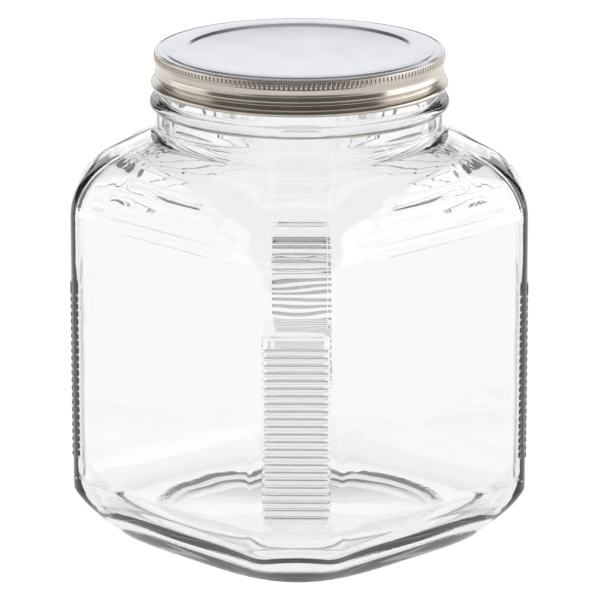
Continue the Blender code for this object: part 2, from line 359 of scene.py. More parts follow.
@dataclass(frozen=True)
class ClearGlass:
    """Clear soda-lime glass, pressed and fire polished.

    The polish leaves the skin almost free of roughness. The blown inner side keeps
    shallow waves that bend what is seen through it, the foot has a fine pebbled grip,
    and thick places look faintly green-grey. The undersides of the ribs throw light out
    of the line of sight; a grey mixed into the colour there is painted shade for it.
    """

    name: str = "soda_lime_glass_pressed"
    tint: str = "#FFFFFF"
    painted_groove_shade_colour: str = "#727573"
    depth_tint: str = "#A6B3AC"
    depth_density: float = 20.0
    ior: float = 1.52
    wave_mm: float = 26.0
    wave_height_mm: float = 0.40
    fine_wave_mm: float = 9.0
    fine_height_mm: float = 0.36
    fine_stretch: float = 0.30
    dot_mm: float = 1.9
    dot_height_mm: float = 0.28
    dot_top_mm: float = 1.6
    haze_roughness: float = 0.03

    def material(self) -> Material:
        """Build the material.

        Returns:
            The finished glass.
        """
        material, tree, shader = new_material(self.name)
        place = add_node(tree, "ShaderNodeTexCoord").outputs["Object"]
        broad = noise(tree, place, self.wave_mm, 1.0)
        level = add_node(tree, "ShaderNodeMapping",
                         {"Vector": place, "Scale": (self.fine_stretch, self.fine_stretch, 1.0)})
        fine = noise(tree, level.outputs[0], self.fine_wave_mm, 0.0)
        deep = calc(tree, Operation.MULTIPLY, broad, self.wave_height_mm)
        faint = calc(tree, Operation.MULTIPLY, fine, self.fine_height_mm)
        waves = calc(tree, Operation.ADD, deep, faint)
        blown = add_node(tree, "ShaderNodeAttribute", attribute_name="blown_side")
        inside = calc(tree, Operation.MULTIPLY, waves, blown.outputs["Fac"])
        dots = add_node(tree, "ShaderNodeTexVoronoi",
                        {"Vector": place, "Scale": 1.0 / (self.dot_mm * MM)})
        height = add_node(tree, "ShaderNodeSeparateXYZ", {0: place}).outputs["Z"]
        low = ramp(tree, height, {"From Max": self.dot_top_mm * MM, "To Min": 1.0, "To Max": 0.0})
        stipple = calc(tree, Operation.MULTIPLY, dots.outputs["Distance"], low)
        relief = calc(tree, Operation.MULTIPLY_ADD, stipple, -self.dot_height_mm, inside)
        bump = add_node(tree, "ShaderNodeBump",
                        {"Height": relief, "Strength": 1.0, "Distance": MM})
        # Painted shade: grey mixed into the glass colour where the rib rule marks rib undersides
        painted_groove_shade = add_node(tree, "ShaderNodeAttribute", attribute_name="painted_groove_shade")
        tint = add_node(tree, "ShaderNodeMix",
                        {"Factor": painted_groove_shade.outputs["Fac"], 6: linear(self.tint),
                         7: linear(self.painted_groove_shade_colour)}, data_type="RGBA")
        fill(tree, shader, {
            "Normal": bump.outputs["Normal"],
            "Roughness": ramp(tree, broad, {"To Min": 0.0, "To Max": self.haze_roughness}),
            "Base Color": tint.outputs[2], "IOR": self.ior, "Transmission Weight": 1.0})
        depth = add_node(tree, "ShaderNodeVolumeAbsorption",
                         {"Color": linear(self.depth_tint), "Density": self.depth_density})
        tree.links.new(depth.outputs[0], tree.nodes["Material Output"].inputs["Volume"])
        return material


@dataclass(frozen=True)
class SatinTinplate:
    """Tin-plated steel sheet, rolled matt and stamped.

    Tin gives a soft warm silver. Drawing the cap leaves fine lines round the skirt and
    handling leaves faint cloudy marks, so highlights are broad and a little uneven. The
    lines are drawn coarser than the real ones, which are too fine to see from here.
    """

    name: str = "tinplate_drawn_satin"
    bright: str = "#D3CCC2"
    dull: str = "#C2BAAF"
    roughness: float = 0.20
    roughness_spread: float = 0.10
    cloud_mm: float = 14.0
    line_mm: float = 0.5
    line_stretch: float = 0.02
    line_height_mm: float = 0.01

    def material(self) -> Material:
        """Build the material.

        Returns:
            The finished metal.
        """
        material, tree, shader = new_material(self.name)
        place = add_node(tree, "ShaderNodeTexCoord").outputs["Object"]
        cloud = noise(tree, place, self.cloud_mm, 4.0)
        colour = add_node(tree, "ShaderNodeMix",
                          {"Factor": cloud, 6: linear(self.dull), 7: linear(self.bright)},
                          data_type="RGBA")
        half = self.roughness_spread / 2
        rough = ramp(tree, cloud, {"To Min": self.roughness - half,
                                   "To Max": self.roughness + half})
        drawn = add_node(tree, "ShaderNodeMapping",
                         {"Vector": place, "Scale": (self.line_stretch, self.line_stretch, 1.0)})
        lines = noise(tree, drawn.outputs[0], self.line_mm, 2.0)
        bump = add_node(tree, "ShaderNodeBump", {"Height": lines, "Strength": 1.0,
                                                 "Distance": self.line_height_mm * MM})
        fill(tree, shader, {"Base Color": colour.outputs[2], "Roughness": rough,
                            "Normal": bump.outputs["Normal"], "Metallic": 1.0})
        return material


@dataclass(frozen=True)
class Section:
    """Level section of the jar's body: a square with flattened, rounded corners."""

    face: float
    corner: float
    rounding: float

    def arc_centre(self) -> Point:
        """Centre of the round between a face and the corner flat beside it.

        Returns:
            Distance out from the axis, square to the face, and distance aside.
        """
        inner = self.face - self.rounding
        return inner, (self.corner - self.rounding) * math.sqrt(2.0) - inner

    def reach(self, angles: np.ndarray) -> np.ndarray:
        """Distance from the axis to the outline.

        Args:
            angles: Polar angles in radians, zero at the middle of a face.

        Returns:
            The distances.
        """
        eighth = np.abs((angles + EIGHTH) % QUARTER - EIGHTH)
        cx, cy = self.arc_centre()
        slant = self.rounding * math.sqrt(0.5)
        along = cx * np.cos(eighth) + cy * np.sin(eighth)
        inside = along ** 2 - (cx ** 2 + cy ** 2 - self.rounding ** 2)
        arc = along + np.sqrt(np.maximum(inside, 0.0))
        flat = self.corner / np.cos(EIGHTH - eighth)
        face = self.face / np.cos(eighth)
        round_end = math.atan2(cy + slant, cx + slant)
        return np.where(eighth <= math.atan2(cy, self.face), face,
                        np.where(eighth >= round_end, flat, arc))

    @staticmethod
    def soft_reach(angles: np.ndarray, face: float, corner: float) -> np.ndarray:
        """Outline of a square that bulges all the way round, without corner flats.

        Args:
            angles: Polar angles in radians, zero at the middle of a face.
            face: Reach at the middle of a face.
            corner: Reach at a corner.

        Returns:
            The distances from the axis.
        """
        power = 1.0 / (0.5 - math.log2(corner / face))
        spread = np.abs(np.cos(angles)) ** power + np.abs(np.sin(angles)) ** power
        return face / spread ** (1.0 / power)

    def squareness(self, angles: np.ndarray) -> np.ndarray:
        """Share of the corner reach at each angle.

        Args:
            angles: Polar angles in radians, zero at the middle of a face.

        Returns:
            The shares, 0 at the middle of a face and 1 at the middle of a corner.
        """
        return (self.reach(angles) - self.face) / (self.corner - self.face)


@dataclass
class GlassJar:
    """The square jar: body, heel, base, shoulders, neck, bead and mouth in one skin.

    The blown inner side is calm (floor_wave) up to calm_top, reaches its full waves
    calm_fade above that, and fades out again under the shoulder. The painted groove
    shade runs from shade_start to shade_end of each rib's pitch.
    """

    outside: Section = Section(79.6, 95.9, 13.3)
    inside: Section = Section(76.1, 92.0, 9.7)
    heel_top: float = 20.4
    heel_face_inset: float = 12.9
    heel_corner_inset: float = 21.4
    heel_power: float = 1.3
    heel_bulge: float = 4.0
    bearing_radius: float = 62.2
    push_up_radius: float = 58.1
    push_up_rise: float = 3.3
    push_up_step: float = 1.5
    push_up_soft: Level = (4.0, 1.0, 3.0)
    floor_z: float = 8.2
    floor_heel: float = 20.4
    floor_face_inset: float = 15.3
    floor_corner_inset: float = 25.5
    shoulder_z: float = 138.7
    shoulder_radius: float = 26.5
    shoulder_slope: float = math.radians(28.0)
    neck_radius: float = 59.9
    neck_fillet: float = 6.0
    shoulder_blend: float = 0.7
    bead_z: float = 186.2
    bead_ring: float = 60.4
    bead_tube: float = 2.3
    finish_radius: float = 58.5
    bore_radius: float = 54.7
    lip_z: float = 206.5
    lip_round: float = 1.2
    wall_drop: float = 2.1
    band_bottom: float = 138.3
    bar_rise: float = 5.8
    band_proud: float = 0.7
    bar_half_lengths: tuple[float, ...] = (43.4, 33.2, 22.4)
    bar_edge: float = 1.0
    side_turn: float = 0.78
    bar_round: float = 1.2
    bar_step: float = 0.8
    bar_top_gap: float = 0.05
    band_edge: tuple[float, ...] = (-0.5, -0.2, 0.1, 0.5)
    bar_levels: tuple[float, ...] = (-3.9, -2.0, -0.6, -0.25, 0.05, 0.45)
    rib_count: int = 22
    rib_pitch: float = 3.23
    rib_foot_z: float = 33.3
    plain_rib_top: float = 110.6
    rib_half_length: float = 12.85
    rib_phases: tuple[float, ...] = (0.0, 0.04, 0.12, 0.24, 0.42, 0.62, 0.82, 0.96)
    rib_crest: float = 0.45
    rib_root: float = -0.4
    crest_share: float = 0.5
    crest_roundness: float = 2.4
    calm_top: float = 46.0
    calm_fade: float = 30.0
    floor_wave: float = 0.18
    shoulder_fade: float = 8.0
    top_slope: float = 0.7
    shade_start: float = 0.04
    shade_end: float = 0.36
    widest_column: float = 5.6
    rib_end_gap: float = 0.012
    round_steps: int = 7
    push_up_steps: int = 8
    heel_steps: int = 22
    heel_inner_steps: int = 16
    slope_steps: int = 10
    fillet_steps: int = 14
    bead_steps: int = 20
    lip_steps: int = 4
    finish: ClearGlass = field(default_factory=ClearGlass)
    # Rows of levels: heights, rises from an edge, or shares of a span. They lie close
    # together where the outline turns and far apart where it runs straight.
    dome_shares: tuple[float, ...] = (0.1, 0.25, 0.4, 0.55, 0.7, 0.8, 0.9)
    lower_wall: tuple[float, ...] = (24.0, 28.0)
    rib_lead: float = 0.7
    plain_foot: tuple[float, ...] = (0.0, 0.13, 0.39, 0.78, 1.36, 3.0)
    plain_end: tuple[float, ...] = (0.7, 0.35, 0.1, 0.0)
    upper_wall: tuple[float, ...] = (118.0, 128.0)
    band_lead: float = 0.9
    band_foot: tuple[Point, ...] = ((-0.35, 0.0), (-0.1, 0.25), (0.1, 0.8), (0.32, 1.0))
    band_close: Point = (0.4, 0.5)
    shoulder_foot: Point = (0.8, 2.6)
    neck_shares: tuple[float, ...] = (0.35, 0.7, 0.9, 0.985)
    bead_foot: tuple[Point, ...] = ((0.05, 1.0), (0.25, 0.45), (0.8, 0.1), (1.8, 0.0))
    inner_wall: tuple[float, ...] = (110.0, 80.0, 50.0)
    floor_shares: tuple[float, ...] = (0.8, 0.6, 0.4, 0.2, 0.08)
    floor_sag: float = 0.3
    flat_shares: tuple[float, ...] = (0.0, 0.45, 0.9)

    def column_angles(self) -> np.ndarray:
        """Polar angles of the columns, closest at bar ends, rib ends and corner rounds.

        Returns:
            The angles all the way round, in rising order.
        """
        face, corner, rounding = self.outside.face, self.outside.corner, self.outside.rounding
        cx, cy = self.outside.arc_centre()
        slant = rounding * math.sqrt(0.5)
        across = {0.0, cy}
        for half in self.bar_half_lengths:
            across |= {half - self.bar_edge, half, half + self.bar_edge}
        marks = sorted(across)
        for low, high in zip(marks, marks[1:]):
            parts = math.ceil((high - low) / self.widest_column)
            across |= {low + (high - low) * k / parts for k in range(parts)}
        half_face = [math.atan2(u, face) for u in sorted(across)]
        flat_half = corner * math.tan(EIGHTH - math.atan2(cy + slant, cx + slant))
        half_corner = [math.atan2(flat_half * share, corner) for share in self.flat_shares]
        rib_end = math.asin((self.rib_half_length - flat_half) / rounding)
        turns = [rib_end - self.rib_end_gap, rib_end + self.rib_end_gap]
        turns += [rib_end + (EIGHTH - rib_end) * k / self.round_steps
                  for k in range(1, self.round_steps)]
        for turn in turns:
            aside = flat_half + rounding * math.sin(turn)
            half_corner.append(math.atan2(aside, corner - rounding * (1.0 - math.cos(turn))))
        eighth = half_face + [EIGHTH - angle for angle in reversed(half_corner)]
        quarter = eighth + [QUARTER - angle for angle in reversed(eighth[1:-1])]
        return np.array([angle + side * QUARTER for side in range(4) for angle in quarter])

    def corner_shoulder(self) -> list[Point]:
        """Heights and corner reaches from the wall's top to the neck.

        Returns:
            Pairs of height and reach, rising.
        """
        slope = self.shoulder_slope
        end_turn = QUARTER - slope
        top_arc = self.shoulder_z + self.shoulder_radius * math.sin(end_turn)
        band_top = self.band_bottom + self.bar_rise
        heights = {top_arc} | {self.shoulder_z + rise for rise in self.shoulder_foot}
        heights |= {band_top + rise for rise in self.band_edge}
        for level in range(len(self.bar_half_lengths)):
            top = band_top + self.bar_rise * (level + 1)
            heights |= {top + rise for rise in self.bar_levels}
        profile = []
        for height in sorted(heights):
            if height <= top_arc:
                turn = math.asin((height - self.shoulder_z) / self.shoulder_radius)
                inset = self.shoulder_radius * (1.0 - math.cos(turn))
                profile.append((height, self.outside.corner - inset))
        last_z, last_reach = profile[-1]
        meet_z = last_z + (last_reach - self.neck_radius) * math.tan(slope)
        tangent = self.neck_fillet * math.tan(end_turn / 2)
        end = (meet_z - tangent * math.sin(slope), self.neck_radius + tangent * math.cos(slope))
        for k in range(1, self.slope_steps):
            t = k / self.slope_steps
            profile.append((last_z + (end[0] - last_z) * t,
                            last_reach + (end[1] - last_reach) * t))
        for k in range(self.fillet_steps + 1):
            turn = slope + end_turn * k / self.fillet_steps
            profile.append((meet_z + tangent - self.neck_fillet * math.cos(turn),
                            self.neck_radius + self.neck_fillet * (1.0 - math.sin(turn))))
        return profile

    def face_reach(self, height: float, corner: float, neck_z: float) -> float:
        """Reach of a face's middle line on the shoulder, never past the corner's reach.

        Args:
            height: Height of the level.
            corner: Reach of the corner at that level.
            neck_z: Height where the shoulder meets the neck.

        Returns:
            The reach.
        """
        share = min(max((height - self.shoulder_z) / (neck_z - self.shoulder_z), 0.0), 1.0)
        out = self.outside.face - self.neck_radius
        reach = self.neck_radius + out * math.sqrt(1.0 - share ** 2)
        soft = self.shoulder_blend
        return corner - soft * math.log1p(math.exp(min((corner - reach) / soft, 60.0)))

    def outer_levels(self) -> list[Level]:
        """Levels of the outside, from the middle of the base to the lip.

        Returns:
            Height, face reach and corner reach of each level.
        """
        face, corner = self.outside.face, self.outside.corner
        levels = []
        dome = self.push_up_rise - self.push_up_step
        for share in self.dome_shares:
            radius = self.push_up_radius * share
            levels.append((self.push_up_step + dome * math.cos(share * QUARTER), radius, radius))
        start, handle_a, handle_b = self.push_up_soft
        step = curve_steps((self.push_up_radius - start, self.push_up_step),
                           (self.push_up_radius - handle_a, self.push_up_step),
                           (self.bearing_radius - handle_b, 0.0), (self.bearing_radius, 0.0),
                           self.push_up_steps)
        levels += [(height, radius, radius) for radius, height in step]
        face_base = face - self.heel_face_inset
        corner_base = corner - self.heel_corner_inset + self.heel_bulge
        for t in (0.25, 0.5, 0.75):
            levels.append((0.0, self.bearing_radius + (face_base - self.bearing_radius) * t,
                           self.bearing_radius + (corner_base - self.bearing_radius) * t))
        heel = [(1.0, 0.0)]
        for k in range(1, self.heel_steps + 1):
            drop = math.cos(QUARTER * k / self.heel_steps)
            inset = 1.0 - (1.0 - drop ** self.heel_power) ** (1.0 / self.heel_power)
            heel.append((inset, 1.0 - drop))
        for inset, rise in heel:
            levels.append((self.heel_top * rise, face - self.heel_face_inset * inset,
                           corner - self.heel_corner_inset * inset
                           + self.heel_bulge * inset ** 4))
        rib_start = self.rib_foot_z
        rib_end = rib_start + self.rib_count * self.rib_pitch
        heights = [*self.lower_wall, rib_start - self.rib_lead]
        heights += [rib_start + (rib + phase) * self.rib_pitch
                    for rib in range(self.rib_count) for phase in self.rib_phases]
        heights += [rib_end + rise for rise in self.plain_foot]
        heights += [self.plain_rib_top - drop for drop in self.plain_end]
        heights += [*self.upper_wall, self.band_bottom - self.band_lead]
        levels += [(height, face, corner) for height in heights]
        for rise, share in self.band_foot:
            levels.append((self.band_bottom + rise, face + self.band_proud * share, corner))
        profile = self.corner_shoulder()
        neck_z = profile[-1][0]
        band_top = self.band_bottom + self.bar_rise
        full_below, fade_span = self.band_close
        for height, reach in profile:
            middle = self.face_reach(height, reach, neck_z)
            if height < band_top:
                fade = min((band_top - height) / fade_span, 1.0) ** 0.5
                share = 1.0 if height < band_top - full_below else fade
                middle += (face + self.band_proud - middle) * share
            levels.append((height, middle, reach))
        return levels + self.neck_levels(neck_z)

    def neck_levels(self, neck_z: float) -> list[Level]:
        """Levels of the neck, the bead and the finish under the lid, up to the lip.

        Args:
            neck_z: Height where the shoulder meets the neck.

        Returns:
            Height of each level and its radius, as face and as corner reach.
        """
        low = self.bead_z - self.bead_tube
        profile = [(neck_z + (low - neck_z) * t, self.neck_radius) for t in self.neck_shares]
        for k in range(self.bead_steps + 1):
            turn = math.pi * k / self.bead_steps - QUARTER
            profile.append((self.bead_z + self.bead_tube * math.sin(turn),
                            self.bead_ring + self.bead_tube * math.cos(turn)))
        profile += [(self.bead_z + self.bead_tube + rise, self.finish_radius + proud)
                    for rise, proud in self.bead_foot]
        for k in range(self.lip_steps + 1):
            turn = QUARTER * k / self.lip_steps
            profile.append((self.lip_z - self.lip_round * (1.0 - math.sin(turn)),
                            self.finish_radius - self.lip_round * (1.0 - math.cos(turn))))
        return [(height, radius, radius) for height, radius in profile]

    def inner_levels(self) -> list[Level]:
        """Levels of the inside, from the lip down to the middle of the floor.

        Returns:
            Height, face reach and corner reach of each level.
        """
        levels = []
        for k in range(self.lip_steps + 1):
            turn = QUARTER * k / self.lip_steps
            reach = self.bore_radius + self.lip_round * (1.0 - math.sin(turn))
            levels.append((self.lip_z - self.lip_round * (1.0 - math.cos(turn)), reach, reach))
        profile = self.corner_shoulder()
        neck_z = profile[-1][0]
        for height, corner in reversed(profile):
            face = self.face_reach(height, corner, neck_z)
            shares = [(reach - self.neck_radius) / (side - self.neck_radius)
                      for reach, side in ((face, self.outside.face),
                                          (corner, self.outside.corner))]
            levels.append((height - self.wall_drop,
                           self.bore_radius + shares[0] * (self.inside.face - self.bore_radius),
                           self.bore_radius + shares[1]
                           * (self.inside.corner - self.bore_radius)))
        top = self.shoulder_z - self.wall_drop - 1.0
        levels += [(height, self.inside.face, self.inside.corner)
                   for height in (top, *self.inner_wall)]
        for k in range(self.heel_inner_steps + 1):
            turn = QUARTER * k / self.heel_inner_steps
            inset = 1.0 - math.cos(turn)
            levels.append((self.floor_z + self.floor_heel * (1.0 - math.sin(turn)),
                           self.inside.face - self.floor_face_inset * inset,
                           self.inside.corner - self.floor_corner_inset * inset))
        for share in self.floor_shares:
            radius = (self.inside.face - self.floor_face_inset) * share
            levels.append((self.floor_z - self.floor_sag * (1.0 - share), radius, radius))
        return levels

    def rings(self, levels: list[Level], section: Section,
              angles: np.ndarray) -> list[np.ndarray]:
        """Lay one ring of points at each level.

        Args:
            levels: Height, face reach and corner reach of each level.
            section: Section that sets how square the ring is.
            angles: Polar angles of the points.

        Returns:
            One array of points for each level.
        """
        share = section.squareness(angles)
        rings = []
        for height, face, corner in levels:
            reach = face + share * (corner - face)
            if section is self.outside and height < self.heel_top:
                softness = (1.0 - height / self.heel_top) ** 2
                reach = reach + softness * (section.soft_reach(angles, face, corner) - reach)
            rings.append(np.column_stack([reach * np.cos(angles), reach * np.sin(angles),
                                          np.full(len(angles), height)]))
        return rings

    def raise_bars(self, rings: list[np.ndarray], angles: np.ndarray) -> None:
        """Carry the shoulder's outline straight up over the height of each bar, in place.

        Args:
            rings: Rings of the outside.
            angles: Polar angle of each column.
        """
        turned = (angles + EIGHTH) % QUARTER - EIGHTH
        side = angles - turned
        normal = np.column_stack([np.cos(side), np.sin(side)])
        across = np.abs(np.tan(turned)) * self.outside.face
        band_top = self.band_bottom + self.bar_rise
        above = self.bar_top_gap
        heights = np.array([ring[0, 2] for ring in rings])
        plain = [ring.copy() for ring in rings]
        full = 4 * QUARTER
        one_side = np.abs(angles - np.round(angles / full) * full) < self.side_turn
        for level, half in enumerate(self.bar_half_lengths):
            foot, top = band_top + self.bar_rise * np.array([level, level + 1])
            first = plain[int(np.argmin(np.abs(heights - foot - 2.0 * above)))]
            order = np.argsort(first[one_side, 1])
            lateral, reach = first[one_side, 1][order], first[one_side, 0][order]
            ends = np.clip((half + self.bar_edge - across) / (2 * self.bar_edge), 0.0, 1.0)
            ends = ends * ends * (3.0 - 2.0 * ends)
            for ring, height in zip(rings, heights):
                if not band_top + above < height < top + above:
                    continue
                along = (ring[:, :2] * normal).sum(1)
                aside = ring[:, 1] * np.cos(side) - ring[:, 0] * np.sin(side)
                upper = min((top + above - height) / self.bar_round, 1.0) ** 0.5
                front = np.interp(aside, lateral, reach)
                step = self.bar_step * np.tanh(np.maximum(front - along, 0.0) / self.bar_step)
                ring[:, :2] += normal * (step * ends * upper)[:, None]

    def rib_tree(self) -> Tree:
        """Rule that raises the corner ribs from the wall.

        Each rib climbs from its lower edge to a rounded crest and falls back before the
        next. The wide plain rib above them only climbs, and ends at a slope.

        Returns:
            A tree that moves points with a rib_way out of the wall, and marks the
            painted shade in the grooves.
        """
        tree, source, sink = new_tree("corner_ribs", {
            "First Edge": 0.03, "Pitch": 0.003, "Count": 12, "Plain Top": 0.1,
            "Crest": 0.0005, "Root": -0.0005, "Crest Share": 0.3, "Roundness": 1.6,
            "Top Slope": 0.0007, "Glass": None})
        sizes = source.outputs
        multiply, subtract = Operation.MULTIPLY, Operation.SUBTRACT
        position = add_node(tree, "GeometryNodeInputPosition").outputs[0]
        level = add_node(tree, "ShaderNodeSeparateXYZ", {0: position}).outputs["Z"]
        rise = calc(tree, subtract, level, sizes["First Edge"])
        phase = calc(tree, Operation.DIVIDE, rise, sizes["Pitch"])
        above = calc(tree, Operation.ABOVE, phase, -0.01)
        below = calc(tree, Operation.BELOW, level, sizes["Plain Top"])
        within = calc(tree, multiply, above, below)
        top = calc(tree, subtract, sizes["Plain Top"], level)
        slope = ramp(tree, top, {"From Max": sizes["Top Slope"]})
        whole = calc(tree, Operation.ADD, phase, 0.001)
        foot = calc(tree, Operation.FLOOR, whole)
        last = calc(tree, Operation.LEAST, foot, sizes["Count"])
        climb = calc(tree, subtract, phase, last)
        under = ramp(tree, climb, {"From Max": sizes["Crest Share"]})
        over = ramp(tree, climb, {"From Min": sizes["Crest Share"]})
        curved = calc(tree, Operation.POWER, over, sizes["Roundness"])
        ribbed = calc(tree, Operation.BELOW, whole, sizes["Count"])
        fall = calc(tree, multiply, curved, ribbed)
        left = calc(tree, subtract, 1.0, under)
        hollow = calc(tree, Operation.POWER, left, sizes["Roundness"])
        full = calc(tree, subtract, 1.0, hollow)
        shaped = calc(tree, subtract, full, fall)
        height = ramp(tree, shaped, {"To Min": sizes["Root"], "To Max": sizes["Crest"]})
        way = add_node(tree, "GeometryNodeInputNamedAttribute", {"Name": "rib_way"},
                       data_type="FLOAT_VECTOR").outputs["Attribute"]
        ended = calc(tree, multiply, within, slope)
        proud = calc(tree, multiply, height, ended)
        offset = add_node(tree, "ShaderNodeVectorMath", {0: way, "Scale": proud},
                          operation="SCALE")
        # Painted shade mask: full at the foot of each rib's underside, gone by shade_end of the
        # pitch
        shade = ramp(tree, climb, {"From Min": self.shade_start, "From Max": self.shade_end,
                                   "To Min": 1.0, "To Max": 0.0}, "SMOOTHSTEP")
        panel = add_node(tree, "ShaderNodeVectorMath", {0: way}, operation="LENGTH")
        marked = calc(tree, multiply, shade, ended)
        painted_groove_shade = calc(tree, multiply, marked, panel.outputs["Value"])
        stored = add_node(tree, "GeometryNodeStoreNamedAttribute",
                          {"Geometry": sizes["Geometry"], "Name": "painted_groove_shade", "Value": painted_groove_shade},
                          data_type="FLOAT", domain="POINT")
        moved = add_node(tree, "GeometryNodeSetPosition",
                         {"Geometry": stored.outputs[0], "Offset": offset.outputs[0]})
        end_tree(tree, moved.outputs[0], sizes["Glass"], sink)
        return tree

    def build(self) -> Piece:
        """Build the jar's skin, raise its ribs and dress it.

        Returns:
            The finished jar.
        """
        angles = self.column_angles()
        outer = self.rings(self.outer_levels(), self.outside, angles)
        self.raise_bars(outer, angles)
        inner = self.rings(self.inner_levels(), self.inside, angles)
        points, faces = skin(outer + inner)
        jar = mesh_object("jar_glass", points, faces)
        corner_way = np.round((angles - EIGHTH) / QUARTER) * QUARTER + EIGHTH
        aside = self.outside.reach(angles) * np.abs(np.sin(angles - corner_way))
        panel = (aside < self.rib_half_length).astype(float)
        way = np.column_stack([np.cos(corner_way) * panel, np.sin(corner_way) * panel,
                               np.zeros(len(angles))])
        outer_count = len(outer) * len(angles)
        ways = np.zeros((len(points), 3))
        ways[:outer_count] = np.tile(way, (len(outer), 1))
        attribute = jar.data.attributes.new("rib_way", "FLOAT_VECTOR", "POINT")
        attribute.data.foreach_set("vector", ways.ravel())
        blown = np.zeros(len(points))
        blown[outer_count:] = 1.0
        blown *= np.clip((self.shoulder_z - points[:, 2]) / self.shoulder_fade, 0.0, 1.0)
        blown *= np.clip((points[:, 2] - self.calm_top) / self.calm_fade, self.floor_wave, 1.0)
        side = jar.data.attributes.new("blown_side", "FLOAT", "POINT")
        side.data.foreach_set("value", blown)
        apply_tree(jar, self.rib_tree(), {
            "First Edge": self.rib_foot_z * MM, "Pitch": self.rib_pitch * MM,
            "Count": self.rib_count, "Plain Top": self.plain_rib_top * MM,
            "Crest": self.rib_crest * MM, "Root": self.rib_root * MM,
            "Crest Share": self.crest_share, "Roundness": self.crest_roundness,
            "Top Slope": self.top_slope * MM, "Glass": self.finish.material()})
        jar.data.attributes.remove(jar.data.attributes["rib_way"])
        return jar


